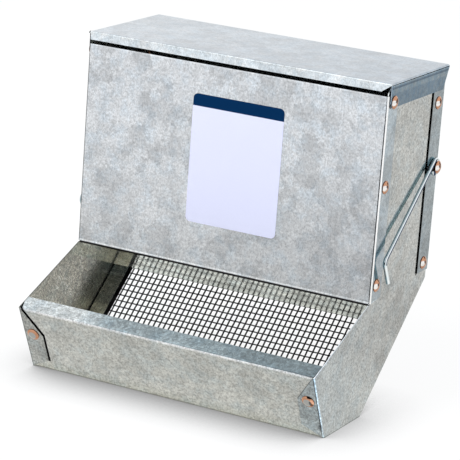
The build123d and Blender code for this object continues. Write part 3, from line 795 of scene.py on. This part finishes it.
def seen_by(tree, kinds, share, plain, shown):
    """Mix two shaders so that the given kinds of ray see a share of the second."""
    rays = tree.nodes.new("ShaderNodeLightPath")
    seen = 0.0
    for kind in kinds:
        seen = maths(tree, "MAXIMUM", seen, rays.outputs["Is " + kind + " Ray"])
    mix = tree.nodes.new("ShaderNodeMixShader")
    tree.links.new(maths(tree, "MULTIPLY", seen, share), mix.inputs[0])
    tree.links.new(plain, mix.inputs[1])
    tree.links.new(shown, mix.inputs[2])
    return mix.outputs[0]


table_paint, tree, shader, place = new_material("white_table")
shader.inputs["Base Color"].default_value = grey(TABLE_LEVEL)
shader.inputs["Roughness"].default_value = 0.9
shader.inputs["Specular IOR Level"].default_value = 0.0
# A painted shadow: the table's glow darkens by ambient occlusion near the feeder.
contact = tree.nodes.new("ShaderNodeAmbientOcclusion")
contact.inputs["Distance"].default_value = SHADOW_REACH
contact.samples = 8
painted_contact_shadow = bands(tree, contact.outputs["AO"], 0.0, 1.0, (
    (0.20, grey(0.18)), (0.45, grey(0.52)), (0.70, grey(0.86)), (0.95, CLEAR),
))
glow = emission(tree, painted_contact_shadow, TABLE_GLOW)
plain = seen_by(tree, ("Camera",), CAMERA_SHARE, shader.outputs[0], glow)
breadth, depth, height = axes(tree, place)
mirror_image = bands(tree, depth, -0.8, 0.2, (
    (-0.60, (0.93, 0.95, 0.97, 1)), (-0.25, (0.84, 0.85, 0.85, 1)),
    (-0.06, (0.78, 0.78, 0.74, 1)), (-0.03, TABLE_WHITE),
    (0.05, TABLE_WHITE), (0.10, (0.82, 0.81, 0.775, 1)),
))
beside = all_of(
    tree, over(tree, breadth, 93.2 * MM), under(tree, breadth, 130 * MM),
    over(tree, depth, -100 * MM), under(tree, depth, -44 * MM),
)
mirror_image = mixed(tree, beside, mirror_image, BRIGHT_BESIDE)
below = all_of(
    tree, over(tree, breadth, 83 * MM), under(tree, breadth, 92.5 * MM),
    over(tree, depth, -80 * MM), under(tree, depth, -45 * MM),
)
mirror_image = mixed(tree, below, mirror_image, grey(0.1))
shown = emission(tree, mirror_image)
whole = seen_by(tree, ("Glossy", "Transmission"), GLOSS_SHARE, plain, shown)
tree.links.new(whole, tree.nodes["Material Output"].inputs["Surface"])
table_top.data.materials.append(table_paint)


# The room is a plain white surround. It lights the feeder softly and a
# little bluish, and one large soft lamp at the left front adds to it.
SOFT_LIGHT = (0.90, 0.94, 1.0, 1)
SOFT_STRENGTH = 0.85
LAMP_PLACE = (-0.5, -0.9, 1.2)
LAMP_SIZE = 0.8
LAMP_POWER = 16


def turned_to_feeder(place):
    """Return the turn that makes a lamp or card at a place face the feeder."""
    return Vector(place).to_track_quat("Z", "Y").to_euler()


world = bpy.data.worlds.new("white_surround")
bpy.context.scene.world = world
world.use_nodes = True
tree = world.node_tree
soft = tree.nodes["Background"]
soft.inputs["Color"].default_value = SOFT_LIGHT
soft.inputs["Strength"].default_value = SOFT_STRENGTH
seen_kinds = ("Camera", "Glossy", "Transmission")
surround = seen_by(tree, seen_kinds, 1.0, soft.outputs[0], emission(tree, CLEAR))
tree.links.new(surround, tree.nodes["World Output"].inputs["Surface"])

light = bpy.data.lights.new("key_lamp", "AREA")
light.size = LAMP_SIZE
light.energy = LAMP_POWER
key_lamp = bpy.data.objects.new("key_lamp", light)
bpy.context.collection.objects.link(key_lamp)
key_lamp.location = LAMP_PLACE
key_lamp.rotation_euler = turned_to_feeder(LAMP_PLACE)
key_lamp.visible_glossy = False


# The studio's cards are flat boards that stand round the feeder, each turned
# to face it. Only gloss sees them: the black ones darken and the white ones
# brighten what the sheets and the rivets mirror.
CARDS = (
    ("black_card_front", (0.10, -0.20, -0.055), (0.22, 0.125), 0.0),
    ("white_card_right", (0.38, 0.03, -0.07), (0.60, 0.10), 1.0),
    ("black_card_right", (0.28, 0.435, 0.06), (0.16, 0.12), 0.0),
    ("white_card_above", (-0.13, -0.14, 0.80), (0.90, 0.56), 1.5),
)
for name, card_place, (width, length), strength in CARDS:
    deselect()
    bpy.ops.mesh.primitive_plane_add(
        size=1, location=card_place, rotation=turned_to_feeder(card_place)
    )
    card = bpy.context.object
    card.name = name
    card.scale = (width, length, 1)
    bpy.ops.object.transform_apply(location=True, rotation=True, scale=True)
    material, tree, shader, place = new_material(name)
    output = tree.nodes["Material Output"]
    tree.links.new(emission(tree, CLEAR, strength), output.inputs["Surface"])
    card.data.materials.append(material)
    card.visible_camera = False
    card.visible_diffuse = False
    card.visible_shadow = False
    card.visible_transmission = False


# The camera stands off to the right front and a little above, with a long
# lens, and it is tipped slightly, as in the photograph.
LENS = 193.3
SENSOR = 36
CAMERA_PLACE = Vector((586.68, -1121.87, 314.03)) * MM
AZIMUTH = math.radians(27.431)
ELEVATION = math.radians(15.27)
ROLL = math.radians(4.273)
camera = bpy.data.objects.new("camera", bpy.data.cameras.new("camera"))
bpy.context.collection.objects.link(camera)
camera.data.lens = LENS
camera.data.sensor_width = SENSOR
turn = Matrix.Rotation(AZIMUTH, 4, "Z") @ Matrix.Rotation(math.pi / 2 - ELEVATION, 4, "X")
camera.matrix_world = Matrix.Translation(CAMERA_PLACE) @ turn @ Matrix.Rotation(ROLL, 4, "Z")
scene = bpy.context.scene
scene.camera = camera
scene.view_settings.view_transform = "Standard"
